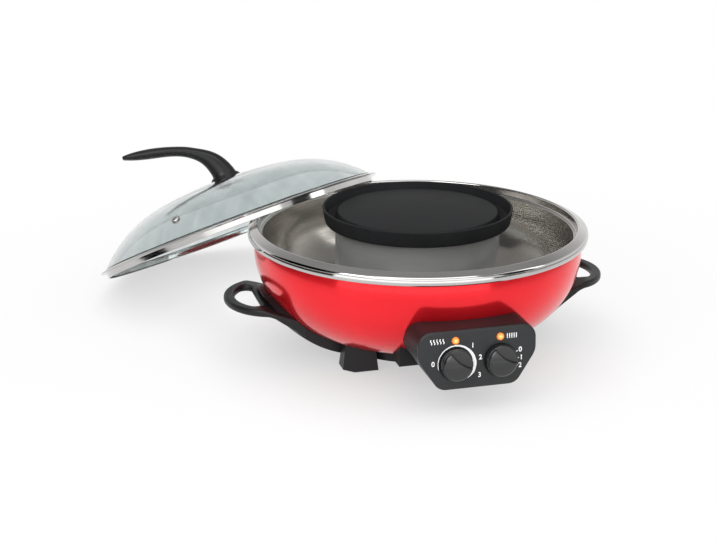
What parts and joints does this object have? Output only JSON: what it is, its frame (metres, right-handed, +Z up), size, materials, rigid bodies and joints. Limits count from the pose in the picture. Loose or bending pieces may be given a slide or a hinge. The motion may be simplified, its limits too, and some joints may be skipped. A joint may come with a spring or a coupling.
{
  "type": "electric hot pot with grill and lid",
  "caption": "Round electric hot pot with a lift-out steel ring pot, a grill pan on its chimney and a glass lid leaning on its rim.",
  "frame": {"origin": "on the table, under the pot's axis and midway between the four foot pads", "axes": "+Z up along the pot's axis, -Y towards the control panel, the two side handles along X"},
  "size_m": [0.588, 0.6476, 0.189],
  "materials": {
    "red_lacquer": "gloss lacquer",
    "black_plastic": "satin",
    "dark_plastic": "satin",
    "knob_plastic": "satin",
    "handle_plastic": "satin",
    "rubber": "matt",
    "gasket": "matt",
    "zinc_steel": "zinc plated",
    "heater_steel": "annealed",
    "aluminium_sheet": "bright rolled",
    "polished_steel": "polished stainless steel",
    "ceramic_block": "unglazed",
    "nonstick": "black non-stick coating on cast metal",
    "lid_glass": "clear tempered glass",
    "amber_lens": "translucent amber"
  },
  "bodies": {
    "base": {"outer_shell": "red_lacquer", "base_tray": "black_plastic", "foot_pads": "rubber", "left_handle": "black_plastic", "right_handle": "black_plastic", "handle_screws": "zinc_steel", "base_screws": "zinc_steel", "housing_screws": "zinc_steel", "control_housing": "dark_plastic", "control_panel": "dark_plastic", "pot_lamp_lens": "amber_lens", "grill_lamp_lens": "amber_lens", "lamp_bodies": "dark_plastic", "pot_thermostat": "dark_plastic", "grill_thermostat": "dark_plastic", "control_nuts": "zinc_steel", "pot_heater": "heater_steel", "grill_heater": "heater_steel", "pot_heater_brackets": "zinc_steel", "grill_heater_brackets": "zinc_steel", "pot_reflector": "aluminium_sheet", "grill_reflector": "aluminium_sheet", "heater_tower": "zinc_steel", "terminal_block": "ceramic_block", "cord_gland": "rubber"},
    "pot": {"inner_pot": "polished_steel"},
    "pan": {"grill_pan": "nonstick"},
    "lid": {"lid_glass": "lid_glass", "lid_rim": "polished_steel", "lid_gasket": "gasket", "lid_vent": "polished_steel", "lid_handle_base": "handle_plastic", "lid_handle": "handle_plastic", "lid_washer": "gasket", "lid_screw": "zinc_steel"},
    "pot_control": {"pot_knob": "knob_plastic", "pot_shaft": "zinc_steel"},
    "grill_control": {"grill_knob": "knob_plastic", "grill_shaft": "zinc_steel"}
  },
  "joints": [
    {"name": "pot_lift", "type": "slide", "parent": "base", "child": "pot", "axis": [0, 0, 1], "range_m": [0, 0.15]},
    {"name": "pan_lift", "type": "slide", "parent": "pot", "child": "pan", "axis": [0, 0, 1], "range_m": [0, 0.1]},
    {"name": "lid_lift", "type": "slide", "parent": "pot", "child": "lid", "axis": [0, 0, 1], "range_m": [0, 0.15]},
    {"name": "pot_knob_turn", "type": "hinge", "parent": "base", "child": "pot_control", "pos_m": [-0.025, -0.22035, 0.05602], "axis": [0, -0.9962, 0.0872], "range_deg": [-42, 213]},
    {"name": "grill_knob_turn", "type": "hinge", "parent": "base", "child": "grill_control", "pos_m": [0.025, -0.22035, 0.05602], "axis": [0, -0.9962, 0.0872], "range_deg": [-12, 43]}
  ]
}
